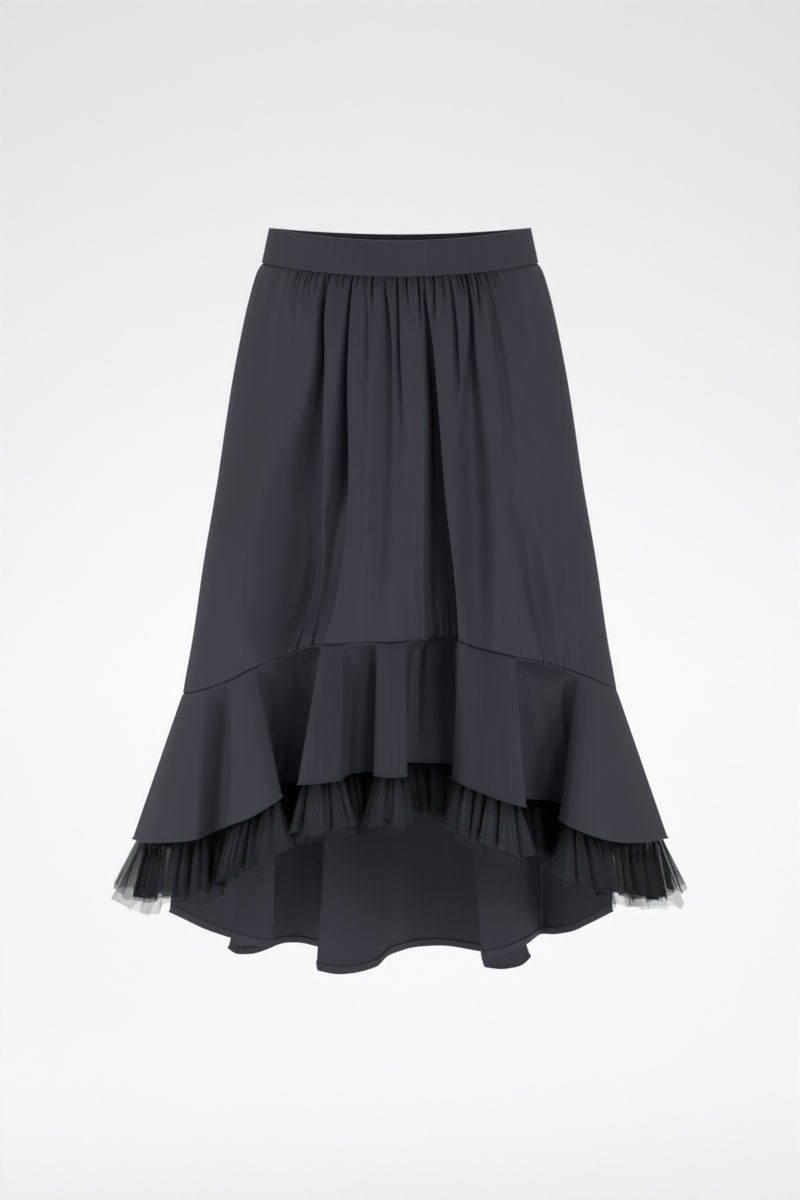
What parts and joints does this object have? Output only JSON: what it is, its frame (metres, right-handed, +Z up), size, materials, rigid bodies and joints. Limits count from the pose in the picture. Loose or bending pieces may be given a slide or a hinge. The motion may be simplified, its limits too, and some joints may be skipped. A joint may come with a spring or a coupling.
{
  "type": "asymmetric high-low skirt with flared flounce and net frill",
  "caption": "Midi skirt worn open: fitted band, gathered body, flared flounce short in front and long behind, and a gathered net frill under the front hem.",
  "frame": {"origin": "centre of the waistband's ring, at half the band's height, where the wearer's waist holds the skirt", "axes": "+Z up along the body, front towards -Y, the wearer's left towards +X"},
  "size_m": [0.5953, 0.4621, 0.7794],
  "materials": {
    "cloth": "smooth fine satin weave, dark slate, low sheen",
    "net": "sheer black net",
    "zip_tape": "woven tape with its closed coil",
    "zip_metal": "enamelled to match the cloth"
  },
  "bodies": {
    "root": {"waistband_front": "cloth", "waistband_back_right": "cloth", "waistband_back_left": "cloth", "front_panel": "cloth", "back_panel_right": "cloth", "back_panel_left": "cloth", "front_flounce": "cloth", "back_flounce": "cloth", "net_frill": "net", "zip_tape": "zip_tape", "zip_slider": "zip_metal"}
  },
  "joints": []
}
